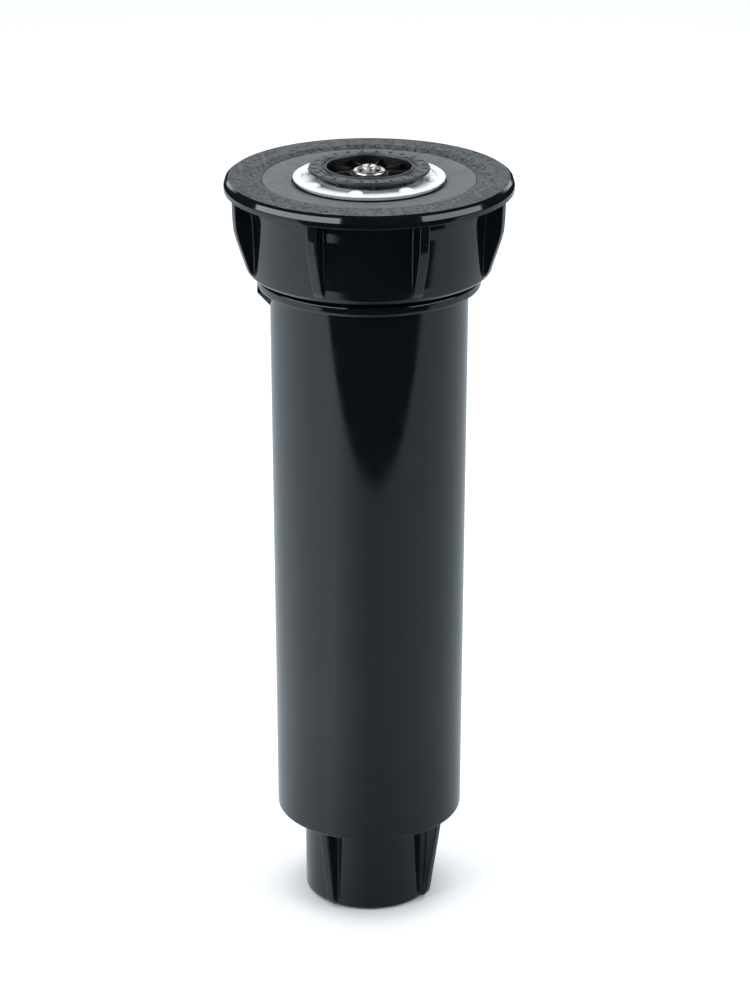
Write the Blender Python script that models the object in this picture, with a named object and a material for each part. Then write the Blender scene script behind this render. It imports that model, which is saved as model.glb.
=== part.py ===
"""Pop-up spray sprinkler head: ground case, screw-on cap, spring-loaded riser, adjustable nozzle.

Lengths in this file are millimetres and MM turns them into metres.  The origin is the centre of the
inlet's lower face and +Z runs up the riser.  Outlines are (radius, height) points, with an optional
third value that rounds the corner.  Angles are in degrees from the front (-Y) towards +X.
"""
import math

import bmesh
import bpy
from mathutils import Vector

MM = 0.001
GAP = 0.3                       # running clearance between neighbouring pieces

# Driving dimensions
SEAL_TOP_Z = 155.0              # top of the seal and of the edge of the cap's recess
GRADE_Z = SEAL_TOP_Z + 0.5      # flat top of the cap's rim, level with the soil
POP_UP = 100.0                  # travel of the riser
CAP_R = 28.5
CASE_R = 19.7                   # outside of the case at its top
CASE_BOTTOM_R = 19.15           # outside of the case at its foot, after moulding draft
INLET_R = 13.4
INLET_H = 19.2                  # length of the inlet boss below the case
RISER_R = 9.6
STEM_R = 3.4                    # centre stem of the deflector
DISC_R = 11.9                   # deflector disc

# Threads: the inlet is a 1/2 inch taper pipe thread, 14 threads to the inch
INLET_PITCH = 25.4 / 14
CAP_PITCH = 4.0
CAP_TURNS = 2.25                # turns that free the cap
NOZZLE_PITCH = 1.6

# Heights shared by several pieces
FLOOR_Z = 22.5                  # floor inside the case
NECK_Z = 135.5                  # foot of the threaded neck, top of the outer collar
CAP_THREAD_Z = 138.4            # start of the thread on the neck
NECK_TOP_Z = 149.2
PLATE_Z = 151.2                 # underside of the cap's plate
PLATE_TOP_Z = 152.9             # floor of the cap's recess
GUIDE_Z = 30.0                  # spring seat on the guide ring
SPRING_TOP_Z = 144.8
RISER_TOP_Z = 141.0             # shoulder below the nozzle thread
NOZZLE_THREAD_Z = 142.2
NECK_RIM_Z = 148.5              # top of the riser's threaded neck
WEB_Z = 153.4                   # underside of the nozzle's web
BASE_TOP_Z = 154.3              # top face of the nozzle base

# Radii shared by several pieces
NECK_R = 19.6
NECK_BORE_R = 17.4
PLATE_HOLE_R = 14.7
RECESS_R = 21.05
SKIRT_BORE_R = 21.1
SPLINE_R = 16.2
RISER_NECK_R = 7.3
NOZZLE_R = 9.5
NOZZLE_BORE_R = 8.3
SHANK_R = 1.05

SPLINES = 6
CAP_RIBS = 8
CAP_RIB_START = -23.0
INLET_RIBS = 4
INLET_RIB_START = -33.0
TEETH = 18
LUGS = 8
LUG_START = -11.3
SPOKES = 9
SPOKE_START = 4.5

SEGMENTS_LARGE = 36
SEGMENTS_MEDIUM = 32
SEGMENTS_SMALL = 20

COLOURS = {                     # base colour, roughness, metallic
    "black_plastic": ((0.012, 0.013, 0.015), 0.35, 0.0),
    "grey_rubber": ((0.060, 0.064, 0.068), 0.70, 0.0),
    "white_plastic": ((0.780, 0.790, 0.800), 0.40, 0.0),
    "nozzle_plastic": ((0.030, 0.032, 0.036), 0.45, 0.0),
    "blue_plastic": ((0.080, 0.140, 0.300), 0.45, 0.0),
    "stainless_steel": ((0.600, 0.600, 0.590), 0.30, 1.0),
    "nitrile_rubber": ((0.010, 0.010, 0.010), 0.75, 0.0),
}


def clear_scene():
    for obj in list(bpy.data.objects):
        bpy.data.objects.remove(obj, do_unlink=True)


def material(name):
    found = bpy.data.materials.get(name)
    if found:
        return found
    colour, roughness, metallic = COLOURS[name]
    made = bpy.data.materials.new(name)
    made.use_nodes = True
    shader = made.node_tree.nodes["Principled BSDF"]
    shader.inputs["Base Color"].default_value = (*colour, 1.0)
    shader.inputs["Roughness"].default_value = roughness
    shader.inputs["Metallic"].default_value = metallic
    return made


def finish_mesh(name, mesh_builder, slot=None):
    """Turn a bmesh in millimetres into a named object in metres, with its faces looking out."""
    bmesh.ops.remove_doubles(mesh_builder, verts=mesh_builder.verts, dist=1e-5)
    bmesh.ops.recalc_face_normals(mesh_builder, faces=mesh_builder.faces)
    bmesh.ops.scale(mesh_builder, vec=(MM, MM, MM), verts=mesh_builder.verts)
    mesh = bpy.data.meshes.new(name)
    mesh_builder.to_mesh(mesh)
    mesh_builder.free()
    obj = bpy.data.objects.new(name, mesh)
    bpy.context.collection.objects.link(obj)
    if slot:
        mesh.materials.append(material(slot))
    return obj


def direction(angle):
    """Unit vector at an angle in degrees from the front towards +X."""
    turn = math.radians(angle)
    return Vector((math.sin(turn), -math.cos(turn), 0.0))


def around(count, start=0.0):
    return [start + 360.0 * index / count for index in range(count)]


def round_corner(before, corner, after, radius, steps):
    """Points of the arc that rounds one corner of an outline."""
    to_before = (before - corner).normalized()
    to_after = (after - corner).normalized()
    half = to_before.angle(to_after) / 2
    centre = corner + (to_before + to_after).normalized() * (radius / math.sin(half))
    first = corner + to_before * (radius / math.tan(half)) - centre
    last = corner + to_after * (radius / math.tan(half)) - centre
    sweep = first.angle(last)
    points = []
    for step in range(steps + 1):
        share = step / steps
        weight_first = math.sin((1 - share) * sweep) / math.sin(sweep)
        weight_last = math.sin(share * sweep) / math.sin(sweep)
        points.append(centre + first * weight_first + last * weight_last)
    return points


def rounded(outline, steps=2):
    """The outline as plain points, with every corner that asks for it rounded."""
    points = []
    for index, (radius, height, *corner) in enumerate(outline):
        here = Vector((radius, height))
        if not corner:
            points.append(here)
            continue
        before = Vector(outline[index - 1][:2])
        after = Vector(outline[(index + 1) % len(outline)][:2])
        points += round_corner(before, here, after, corner[0], steps)
    return points


def turned(name, outline, segments, slot=None, corner_steps=2):
    """A body of revolution.  An outline that starts and ends on the axis is left open there."""
    points = rounded(outline, corner_steps)
    mesh_builder = bmesh.new()
    verts = [mesh_builder.verts.new((point.x, 0.0, point.y)) for point in points]
    edges = [mesh_builder.edges.new(pair) for pair in zip(verts, verts[1:])]
    if points[0].x > 0:
        edges.append(mesh_builder.edges.new((verts[-1], verts[0])))
    bmesh.ops.spin(mesh_builder, geom=verts + edges, cent=(0, 0, 0), axis=(0, 0, 1),
                   angle=math.tau, steps=segments, use_merge=True)
    return finish_mesh(name, mesh_builder, slot)


def add_prism(mesh_builder, corners, offset):
    """Extrude one flat polygon by an offset vector into a closed prism."""
    base = mesh_builder.faces.new([mesh_builder.verts.new(corner) for corner in corners])
    extruded = bmesh.ops.extrude_face_region(mesh_builder, geom=[base], use_keep_orig=True)
    top = [item for item in extruded["geom"] if isinstance(item, bmesh.types.BMVert)]
    bmesh.ops.translate(mesh_builder, vec=offset, verts=top)


def radial_plates(name, outline, thickness, angles, corner_steps=2):
    """Flat plates that stand in radial planes; the outline is (radius, height)."""
    mesh_builder = bmesh.new()
    for angle in angles:
        outward = direction(angle)
        sideways = direction(angle + 90.0)
        corners = [outward * point.x + Vector((0, 0, point.y)) - sideways * thickness / 2
                   for point in rounded(outline, corner_steps)]
        add_prism(mesh_builder, corners, sideways * thickness)
    return finish_mesh(name, mesh_builder)


def box_outline(inner, outer, low, high):
    return [(inner, low), (outer, low), (outer, high), (inner, high)]


def upright_prisms(name, footprint, low, high, angles):
    """Upright prisms; the footprint is (outward, sideways) points."""
    mesh_builder = bmesh.new()
    for angle in angles:
        outward = direction(angle)
        sideways = direction(angle + 90.0)
        corners = [outward * out + sideways * side + Vector((0, 0, low)) for out, side in footprint]
        add_prism(mesh_builder, corners, Vector((0, 0, high - low)))
    return finish_mesh(name, mesh_builder)


def circle_footprint(distance, radius, sides):
    return [(distance + radius * math.cos(math.tau * side / sides),
             radius * math.sin(math.tau * side / sides)) for side in range(sides)]


def half_round_footprint(outer, length, width, sides):
    """A half-round that points towards the axis from a flat back at the outer radius."""
    straight = length - width / 2
    footprint = [(outer, width / 2), (outer, -width / 2)]
    for side in range(sides + 1):
        turn = math.pi * side / sides
        footprint.append((outer - straight - width / 2 * math.sin(turn),
                          -width / 2 * math.cos(turn)))
    return footprint


def arc_slot_footprint(inner, outer, half_sweep, steps):
    edge = []
    for radius, sign in ((inner, 1), (outer, -1)):
        for step in range(steps + 1):
            turn = math.radians(sign * half_sweep * (2 * step / steps - 1))
            edge.append((radius * math.cos(turn), radius * math.sin(turn)))
    return edge


def saw_ring(name, inner, outer, root_z, tip_z, foot_z):
    """A ring of saw teeth: each tooth rises along its back and drops straight at its front."""
    mesh_builder = bmesh.new()
    for angle in around(TEETH):
        step = 360.0 / TEETH
        corners = []
        for turn, height in ((0.0, foot_z), (0.96, foot_z), (0.96, tip_z), (0.0, root_z)):
            corners.append((angle + turn * step, height))
        near = [mesh_builder.verts.new(direction(turn) * inner + Vector((0, 0, height)))
                for turn, height in corners]
        far = [mesh_builder.verts.new(direction(turn) * outer + Vector((0, 0, height)))
               for turn, height in corners]
        mesh_builder.faces.new(near)
        mesh_builder.faces.new(reversed(far))
        for side in range(4):
            after = (side + 1) % 4
            mesh_builder.faces.new((near[side], far[side], far[after], near[after]))
    return finish_mesh(name, mesh_builder)


def thread_ridge(name, root, crest, low, pitch, turns, per_turn, taper=0.0, phase=0.0):
    """A right-hand thread as one helical ridge whose root is sunk in the wall.

    Root and crest are radii at the lowest point, taper is the change of radius per height, and the
    ridge sinks into the wall over a quarter turn at each end.
    """
    sink = math.copysign(0.25, root - crest)
    root_half = 0.36 * min(pitch, 2.2)
    crest_half = 0.10 * min(pitch, 3.0)
    steps = round(turns * per_turn)
    rings = []
    mesh_builder = bmesh.new()
    for step in range(steps + 1):
        turned_by = turns * step / steps
        fade = min(1.0, 4 * turned_by, 4 * (turns - turned_by))
        height = low + pitch * turned_by
        shift = taper * pitch * turned_by
        tip = root + 0.5 * sink + (crest - root - 0.5 * sink) * fade
        section = [(root + sink, -root_half), (tip, -crest_half),
                   (tip, crest_half), (root + sink, root_half)]
        outward = direction(phase + 360.0 * turned_by)
        rings.append([mesh_builder.verts.new(outward * (radius + shift) + Vector((0, 0, height + rise)))
                      for radius, rise in section])
    for lower, upper in zip(rings, rings[1:]):
        for side in range(4):
            after = (side + 1) % 4
            mesh_builder.faces.new((lower[side], lower[after], upper[after], upper[side]))
    mesh_builder.faces.new(reversed(rings[0]))
    mesh_builder.faces.new(rings[-1])
    return finish_mesh(name, mesh_builder)


def apply_boolean(target, tool, operation):
    """Join or cut a tool into a target, then remove the tool."""
    modifier = target.modifiers.new(tool.name, "BOOLEAN")
    modifier.operation = operation
    modifier.solver = "EXACT"
    modifier.object = tool
    graph = bpy.context.evaluated_depsgraph_get()
    mesh = bpy.data.meshes.new_from_object(target.evaluated_get(graph))
    target.modifiers.clear()
    before = target.data
    target.data = mesh
    bpy.data.meshes.remove(before)
    bpy.data.objects.remove(tool, do_unlink=True)


def join(target, *tools):
    for tool in tools:
        apply_boolean(target, tool, "UNION")


def cut(target, *tools):
    for tool in tools:
        apply_boolean(target, tool, "DIFFERENCE")


def body_case():
    """Outer case: threaded inlet boss, draughted tube, collar and the neck that the cap screws on."""
    collar_r = 22.2
    collar_z = 133.6
    bore_foot_r = 16.9
    water_r = 7.5               # opening in the floor
    socket_z = 15.0             # end of the inlet socket
    socket_r = 10.28            # thread root at the end of the socket
    mouth_r = 10.75             # thread root at the mouth
    mouth_chamfer = 0.55
    outline = [
        (mouth_r + mouth_chamfer, 0.0), (INLET_R, 0.0, 0.8), (INLET_R, INLET_H),
        (CASE_BOTTOM_R, INLET_H, 0.7), (CASE_R, collar_z), (collar_r, collar_z, 0.3),
        (collar_r, NECK_Z, 0.4), (NECK_R, NECK_Z), (NECK_R, NECK_TOP_Z, 0.3),
        (NECK_BORE_R, NECK_TOP_Z), (NECK_BORE_R, collar_z), (bore_foot_r, FLOOR_Z),
        (water_r, FLOOR_Z), (water_r, socket_z), (socket_r, socket_z), (mouth_r, 0.8),
    ]
    case = turned("body_case", outline, SEGMENTS_LARGE, "black_plastic", corner_steps=1)
    spline_top_z = GUIDE_Z + POP_UP + 4.0
    spline = box_outline(SPLINE_R, NECK_BORE_R + 0.6, FLOOR_Z - GAP, spline_top_z)
    join(case, radial_plates("splines", spline, 1.4, around(SPLINES)))
    rib = [(INLET_R - 1.0, 0.6), (14.9, 0.6, 1.2), (17.65, INLET_H + 0.5), (INLET_R - 1.0, INLET_H + 0.5)]
    join(case, radial_plates("inlet_ribs", rib, 2.0, around(INLET_RIBS, INLET_RIB_START)))
    lug = [(CASE_R - 0.8, collar_z + 0.6), (CASE_R - 0.8, 128.1), (CASE_R, 129.0),
           (collar_r, 131.7), (collar_r - 0.05, collar_z + 0.6)]
    join(case, radial_plates("collar_lug", lug, 2.0, [-90.0]))
    slope = (socket_r - mouth_r) / (socket_z - 0.8)
    join(case, thread_ridge("inlet_thread", mouth_r, mouth_r - 1.2, 1.6, INLET_PITCH, 6.75, 12, slope))
    join(case, thread_ridge("neck_thread", NECK_R, 20.7, CAP_THREAD_Z, CAP_PITCH, CAP_TURNS, 24))
    return case


def cap():
    """Screw-on cap: flat rim at grade, recessed plate for the seal, ribbed and threaded skirt."""
    skirt_r = 24.5              # outside of the skirt near its foot; it widens a little upwards
    skirt_top_r = 25.05
    skirt_z = 136.7
    rim_z = GRADE_Z - 2.65
    outline = [
        (SKIRT_BORE_R, skirt_z, 0.4), (skirt_r - 0.9, skirt_z, 0.2), (skirt_r, skirt_z + 1.8, 1.2),
        (skirt_top_r, rim_z, 0.4), (CAP_R, rim_z, 0.3), (CAP_R, GRADE_Z - 0.8, 0.5),
        (CAP_R - 0.9, GRADE_Z), (RECESS_R + 1.5, GRADE_Z), (RECESS_R, SEAL_TOP_Z), (RECESS_R, PLATE_TOP_Z),
        (PLATE_HOLE_R, PLATE_TOP_Z), (PLATE_HOLE_R, PLATE_Z), (SKIRT_BORE_R, PLATE_Z),
    ]
    shell = turned("cap", outline, SEGMENTS_LARGE, "black_plastic")
    rib = [(skirt_r - 1.0, rim_z + 0.5), (CAP_R - 0.15, rim_z + 0.5), (CAP_R - 0.25, 149.7),
           (CAP_R - 0.45, 147.3), (CAP_R - 0.95, 145.3), (25.4, 138.9), (24.9, 138.2),
           (skirt_r - 1.0, 137.9)]
    join(shell, radial_plates("cap_ribs", rib, 2.0, around(CAP_RIBS, CAP_RIB_START)))
    join(shell, thread_ridge("cap_thread", SKIRT_BORE_R, 19.95, CAP_THREAD_Z + CAP_PITCH / 2,
                             CAP_PITCH, 2.0, 24))
    return shell


def wiper_seal():
    """Rubber seal clipped around the edge of the cap's plate, with two lips against the riser."""
    outer = RECESS_R - GAP
    lip_r = RISER_R + 0.15
    land_z = NECK_TOP_Z + GAP
    outline = [
        (outer, PLATE_TOP_Z + GAP), (outer, SEAL_TOP_Z), (15.35, 154.4), (15.2, 153.9),
        (13.3, 153.6), (13.2, 150.8), (11.2, 150.2), (lip_r, 150.9), (lip_r, 150.5),
        (11.0, 149.6), (11.0, 148.6), (lip_r, 146.9), (lip_r, 146.6), (10.4, 146.6),
        (12.4, 149.0), (12.4, land_z), (19.3, land_z), (19.3, PLATE_Z - GAP),
        (PLATE_HOLE_R - GAP, PLATE_Z - GAP), (PLATE_HOLE_R - GAP, PLATE_TOP_Z + GAP),
    ]
    return turned("wiper_seal", outline, SEGMENTS_MEDIUM, "grey_rubber")


def seal_retainer():
    """Stiff ring under the seal that carries the top of the spring."""
    bore = RISER_R + 0.35
    flange_z = SPRING_TOP_Z + 0.2
    outline = [
        (bore, 142.5), (11.9, 142.5), (11.9, flange_z), (NECK_BORE_R - 0.4, flange_z),
        (NECK_BORE_R - 0.4, NECK_TOP_Z), (12.7, NECK_TOP_Z), (12.7, 146.2), (bore, 146.2),
    ]
    return turned("seal_retainer", outline, SEGMENTS_MEDIUM, "black_plastic")


def retract_spring():
    """Compression spring with one closed turn at each end."""
    coil_r = 13.9
    wire_r = 0.65
    sides = 5
    per_turn = 12
    end_rise = 1.45             # rise of a closed end turn
    active_turns = 9
    low = GUIDE_Z + 0.2 + wire_r
    high = SPRING_TOP_Z - wire_r
    active_rise = (high - low - 2 * end_rise) / active_turns
    turns = active_turns + 2
    mesh_builder = bmesh.new()
    rings = []
    for step in range(turns * per_turn + 1):
        turned_by = step / per_turn
        first = min(turned_by, 1.0)
        middle = min(max(turned_by - 1.0, 0.0), active_turns)
        last = max(turned_by - 1.0 - active_turns, 0.0)
        height = low + (first + last) * end_rise + middle * active_rise
        outward = direction(360.0 * turned_by)
        ring = []
        for side in range(sides):
            turn = math.tau * side / sides
            place = outward * (coil_r + wire_r * math.cos(turn))
            ring.append(mesh_builder.verts.new(place + Vector((0, 0, height + wire_r * math.sin(turn)))))
        rings.append(ring)
    for lower, upper in zip(rings, rings[1:]):
        for side in range(sides):
            after = (side + 1) % sides
            mesh_builder.faces.new((lower[side], lower[after], upper[after], upper[side]))
    mesh_builder.faces.new(reversed(rings[0]))
    mesh_builder.faces.new(rings[-1])
    return finish_mesh("retract_spring", mesh_builder, "stainless_steel")


def guide_ring():
    """Ring keyed to the case's splines; its teeth hold the riser's aim and let it ratchet round."""
    bore = RISER_R + 0.35
    foot_z = 27.2
    outline = [
        (bore, foot_z), (16.6, foot_z), (16.6, GUIDE_Z), (11.7, GUIDE_Z), (11.7, 36.0), (bore, 36.0),
    ]
    ring = turned("guide_ring", outline, SEGMENTS_LARGE, "black_plastic")
    notch = box_outline(SPLINE_R - GAP, 18.0, foot_z - 1.0, GUIDE_Z + 1.0)
    cut(ring, radial_plates("notches", notch, 2.0, around(SPLINES)))
    join(ring, saw_ring("guide_teeth", 11.5, 15.4, foot_z - 0.1, 26.4, foot_z + 0.4))
    return ring


def riser_stem():
    """Hollow riser: toothed foot flange, polished tube and the threaded neck for the nozzle."""
    bore = 7.8
    foot_z = FLOOR_Z + 0.5
    flange_z = 25.4
    neck_bore = 6.2
    outline = [
        (bore, foot_z), (15.6, foot_z, 0.5), (15.6, flange_z), (RISER_R, flange_z),
        (RISER_R, RISER_TOP_Z), (RISER_NECK_R, RISER_TOP_Z), (RISER_NECK_R, NECK_RIM_Z, 0.2),
        (neck_bore, NECK_RIM_Z), (neck_bore, 139.0), (bore, 137.0),
    ]
    stem = turned("riser_stem", outline, SEGMENTS_MEDIUM, "black_plastic", corner_steps=1)
    join(stem, saw_ring("riser_teeth", 11.5, 15.4, flange_z + 0.1, 26.2, flange_z - 0.4))
    join(stem, thread_ridge("riser_thread", RISER_NECK_R, 8.0, NOZZLE_THREAD_Z, NOZZLE_PITCH, 3.25, 12))
    return stem


def filter_screen():
    """Slotted basket that hangs in the riser below the nozzle."""
    foot_z = 124.0
    wall = 0.7
    flange_z = NECK_RIM_Z + GAP
    outline = [
        (0.0, foot_z), (4.6, foot_z), (5.7, flange_z), (7.9, flange_z), (7.9, flange_z + 0.7),
        (5.0, flange_z + 0.7), (4.6 - wall, foot_z + wall), (0.0, foot_z + wall),
    ]
    basket = turned("filter_screen", outline, SEGMENTS_SMALL, "blue_plastic")
    for low in (127.0, 134.0, 141.0):
        slot = box_outline(-7.0, 7.0, low, low + 5.5)
        cut(basket, radial_plates("slots", slot, 2.0, around(SPLINES)[:3]))
    return basket


def inlet_plate():
    """Perforated plate that steadies the flow into the nozzle."""
    low = 149.9
    high = 150.7
    outline = [(1.35, low), (7.9, low), (7.9, high), (1.35, high)]
    plate = turned("inlet_plate", outline, SEGMENTS_SMALL, "nozzle_plastic")
    holes = circle_footprint(4.9, 1.3, 8)
    cut(plate, upright_prisms("plate_holes", holes, low - 1.0, high + 1.0, around(SPLINES)))
    return plate


def throttle_nut():
    """Cup on the screw that closes the ports in the nozzle's web as the screw is turned."""
    hub_z = 151.0
    outline = [
        (1.35, hub_z), (7.6, hub_z), (7.6, hub_z + 1.1), (3.9, hub_z + 1.1), (3.9, hub_z + 0.4),
        (1.35, hub_z + 0.4),
    ]
    nut = turned("throttle_nut", outline, SEGMENTS_SMALL, "nozzle_plastic")
    notch = box_outline(6.6, 9.0, hub_z - 1.0, hub_z + 3.0)
    cut(nut, radial_plates("key_notches", notch, 1.8, [90.0, 270.0]))
    return nut


def nozzle_base():
    """Nozzle body: threaded skirt, ported web and the flange that closes on the wiper seal."""
    flange_r = 14.6
    outline = [
        (NOZZLE_BORE_R, RISER_TOP_Z + GAP), (NOZZLE_R, RISER_TOP_Z + GAP), (NOZZLE_R, 152.4),
        (12.8, 153.9), (flange_r, 153.95), (flange_r, BASE_TOP_Z), (STEM_R + GAP, BASE_TOP_Z),
        (STEM_R + GAP, WEB_Z), (NOZZLE_BORE_R, WEB_Z),
    ]
    base = turned("nozzle_base", outline, SEGMENTS_MEDIUM, "nozzle_plastic")
    key = box_outline(6.9, NOZZLE_R - 0.4, 151.0, WEB_Z + 0.4)
    join(base, radial_plates("keys", key, 1.2, [90.0, 270.0]))
    port = arc_slot_footprint(4.6, 7.2, 32.0, 4)
    cut(base, upright_prisms("ports", port, WEB_Z - 0.5, BASE_TOP_Z + 0.5, around(4, 45.0)))
    join(base, thread_ridge("nozzle_thread", NOZZLE_BORE_R, 7.6, NOZZLE_THREAD_Z + NOZZLE_PITCH / 2,
                            NOZZLE_PITCH, 3.0, 12))
    return base


def deflector():
    """Spray deflector: stem, dished cup with spokes, and a flat disc with vanes below its edge."""
    cup_r = 9.1
    cup_z = BASE_TOP_Z + 0.4
    dish_r = 8.3
    dish_z = 155.5
    disc_z = 156.7
    disc_top_z = 157.3
    hub_r = 4.2
    hub_top_z = 156.5
    seat_z = 156.0
    bore = SHANK_R + GAP
    outline = [
        (bore, WEB_Z), (STEM_R, WEB_Z), (STEM_R, cup_z), (cup_r, cup_z), (cup_r, disc_z),
        (DISC_R, disc_z), (DISC_R, disc_top_z, 0.2), (dish_r + 0.6, disc_top_z),
        (dish_r + 0.3, disc_top_z + 0.15), (dish_r, disc_top_z), (dish_r, dish_z), (hub_r, dish_z),
        (hub_r, hub_top_z), (3.5, hub_top_z), (3.5, seat_z), (bore, seat_z),
        (bore, 155.2), (2.1, 155.2), (2.1, 153.9), (bore, 153.9),
    ]
    body = turned("deflector", outline, SEGMENTS_MEDIUM, "nozzle_plastic", corner_steps=1)
    spoke = box_outline(hub_r - 0.4, dish_r + 0.4, dish_z - 0.3, seat_z + 0.6)
    join(body, radial_plates("spokes", spoke, 0.8, around(SPOKES, SPOKE_START)))
    vane = box_outline(cup_r - 0.4, cup_r + 1.7, 155.6, disc_z + 0.3)
    join(body, radial_plates("vanes", vane, 0.8, around(SPOKES, SPOKE_START)))
    return body


def arc_collar():
    """White ring that is turned by hand to set the width of the spray."""
    low = BASE_TOP_Z + GAP
    edge_r = 15.0
    band_r = 13.2
    inner_r = 10.4
    floor_z = low + 0.35
    top_z = low + 0.95
    outline = [
        (inner_r, low), (edge_r - 0.5, low), (edge_r, low + 0.45), (edge_r, low + 0.7),
        (edge_r - 0.4, top_z), (band_r, top_z), (band_r, floor_z), (inner_r, floor_z),
    ]
    ring = turned("arc_collar", outline, SEGMENTS_MEDIUM, "white_plastic")
    lug = half_round_footprint(band_r + 0.2, 2.1, 3.0, 6)
    join(ring, upright_prisms("lugs", lug, low + 0.15, top_z + 0.3, around(LUGS, LUG_START)))
    return ring


def valve_sleeve():
    """Sleeve that turns with the collar; its top edge climbs in a helix and meters the spray slot."""
    inner = 9.4
    outer = 10.2
    low = BASE_TOP_Z + 0.2
    least = 0.35
    rise = 0.45
    mesh_builder = bmesh.new()
    rings = []
    for step in range(SEGMENTS_MEDIUM):
        outward = direction(360.0 * step / SEGMENTS_MEDIUM)
        top = low + least + rise * step / (SEGMENTS_MEDIUM - 1)
        rings.append([mesh_builder.verts.new(outward * radius + Vector((0, 0, height)))
                      for radius, height in ((inner, low), (outer, low), (outer, top), (inner, top))])
    for here, there in zip(rings, rings[1:] + rings[:1]):
        for side in range(4):
            after = (side + 1) % 4
            mesh_builder.faces.new((here[side], here[after], there[after], there[side]))
    return finish_mesh("valve_sleeve", mesh_builder, "white_plastic")


def screw_ferrule():
    outline = [(2.15, 156.2), (3.2, 156.2), (3.2, 156.75, 0.15), (2.15, 156.75)]
    return turned("screw_ferrule", outline, SEGMENTS_SMALL, "stainless_steel", corner_steps=1)


def radius_screw():
    """Slotted screw in the middle of the nozzle that sets the throw."""
    head_z = 156.25
    head_r = 1.5
    head_top_z = 157.5
    outline = [
        (0.0, 150.2), (SHANK_R, 150.2), (SHANK_R, head_z), (head_r, head_z), (head_r, head_top_z, 0.15),
        (0.0, head_top_z),
    ]
    screw = turned("radius_screw", outline, SEGMENTS_SMALL, "stainless_steel", corner_steps=1)
    slot = box_outline(-3.0, 3.0, head_top_z - 0.8, head_top_z + 1.0)
    cut(screw, radial_plates("screw_slot", slot, 0.5, [-10.0]))
    return screw


def screw_clip():
    outline = box_outline(SHANK_R + 0.15, 2.4, 152.8, 153.1)
    return turned("screw_clip", outline, SEGMENTS_SMALL, "stainless_steel")


def screw_o_ring():
    section = [(1.58 + 0.38 * math.cos(math.tau * side / 6), 154.5 + 0.38 * math.sin(math.tau * side / 6))
               for side in range(6)]
    return turned("screw_o_ring", section, SEGMENTS_SMALL, "nitrile_rubber")


def main():
    clear_scene()
    for make in (body_case, cap, wiper_seal, seal_retainer, retract_spring, guide_ring, riser_stem,
                 filter_screen, inlet_plate, throttle_nut, nozzle_base, deflector, arc_collar,
                 valve_sleeve, screw_ferrule, radius_screw, screw_clip, screw_o_ring):
        make()


main()
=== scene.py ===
"""Looks of the pop-up spray head.  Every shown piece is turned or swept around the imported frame.

Outlines are (radius, height) points in millimetres in the frame's own axes, listed anticlockwise,
with an optional third value that rounds the corner.  Angles are in degrees from the front (-Y)
towards +X.  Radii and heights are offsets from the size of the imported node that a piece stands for.
"""
import math

import bmesh
import bpy
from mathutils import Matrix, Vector, noise


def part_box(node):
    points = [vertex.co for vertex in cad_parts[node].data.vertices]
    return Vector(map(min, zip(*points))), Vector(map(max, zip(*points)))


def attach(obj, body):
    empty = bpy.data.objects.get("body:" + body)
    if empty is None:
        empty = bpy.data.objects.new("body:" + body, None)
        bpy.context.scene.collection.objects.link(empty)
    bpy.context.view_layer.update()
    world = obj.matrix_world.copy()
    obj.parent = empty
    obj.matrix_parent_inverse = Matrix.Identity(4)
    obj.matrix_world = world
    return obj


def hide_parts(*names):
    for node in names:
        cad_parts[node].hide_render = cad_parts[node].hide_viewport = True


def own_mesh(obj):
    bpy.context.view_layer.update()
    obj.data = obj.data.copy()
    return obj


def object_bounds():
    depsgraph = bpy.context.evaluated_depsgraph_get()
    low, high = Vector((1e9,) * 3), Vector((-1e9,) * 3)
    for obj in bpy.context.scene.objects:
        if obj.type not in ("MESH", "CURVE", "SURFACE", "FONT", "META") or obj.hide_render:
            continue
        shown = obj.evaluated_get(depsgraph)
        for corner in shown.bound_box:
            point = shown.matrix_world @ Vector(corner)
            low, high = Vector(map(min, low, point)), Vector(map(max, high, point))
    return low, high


MM = 0.001
CROWN = 0.5                     # rise of the cap's top from its recess to its rim
FINE = 720                      # steps round a piece that carries fine relief
MEDIUM = 288
COARSE = 144

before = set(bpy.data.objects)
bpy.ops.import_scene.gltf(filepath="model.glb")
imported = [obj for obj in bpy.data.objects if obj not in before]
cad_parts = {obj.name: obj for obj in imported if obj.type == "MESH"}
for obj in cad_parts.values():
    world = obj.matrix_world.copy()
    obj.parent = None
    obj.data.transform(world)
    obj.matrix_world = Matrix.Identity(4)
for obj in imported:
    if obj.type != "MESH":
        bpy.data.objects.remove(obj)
cad_low, cad_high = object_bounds()


# ---------------------------------------------------------------- sizes taken from the frame

def extent(node):
    """Outer radius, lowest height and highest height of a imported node, in millimetres."""
    low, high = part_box(node)
    return high.x / MM, low.z / MM, high.z / MM


CAP_R, CAP_FOOT, CAP_TOP = extent("cap")
GRADE = CAP_TOP - CROWN
COLLAR_R, CASE_FOOT, NECK_TOP = extent("body_case")
SEAL_R, SEAL_FOOT, SEAL_TOP = extent("wiper_seal")
RING_R, RING_FOOT, RING_TOP = extent("arc_collar")
DISC_R, STEM_FOOT, DISC_TOP = extent("deflector")
BASE_R, SKIRT_FOOT, BASE_TOP = extent("nozzle_base")
FLANGE_R, RISER_FOOT, RISER_TOP = extent("riser_stem")
HEAD_R, SHANK_FOOT, HEAD_TOP = extent("radius_screw")
FERRULE_R, FERRULE_FOOT, FERRULE_TOP = extent("screw_ferrule")
SLEEVE_R, SLEEVE_FOOT, SLEEVE_TOP = extent("valve_sleeve")
GUIDE_R, GUIDE_FOOT, GUIDE_TOP = extent("guide_ring")
HOLD_R, HOLD_FOOT, HOLD_TOP = extent("seal_retainer")
COIL_R, COIL_FOOT, COIL_TOP = extent("retract_spring")

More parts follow.
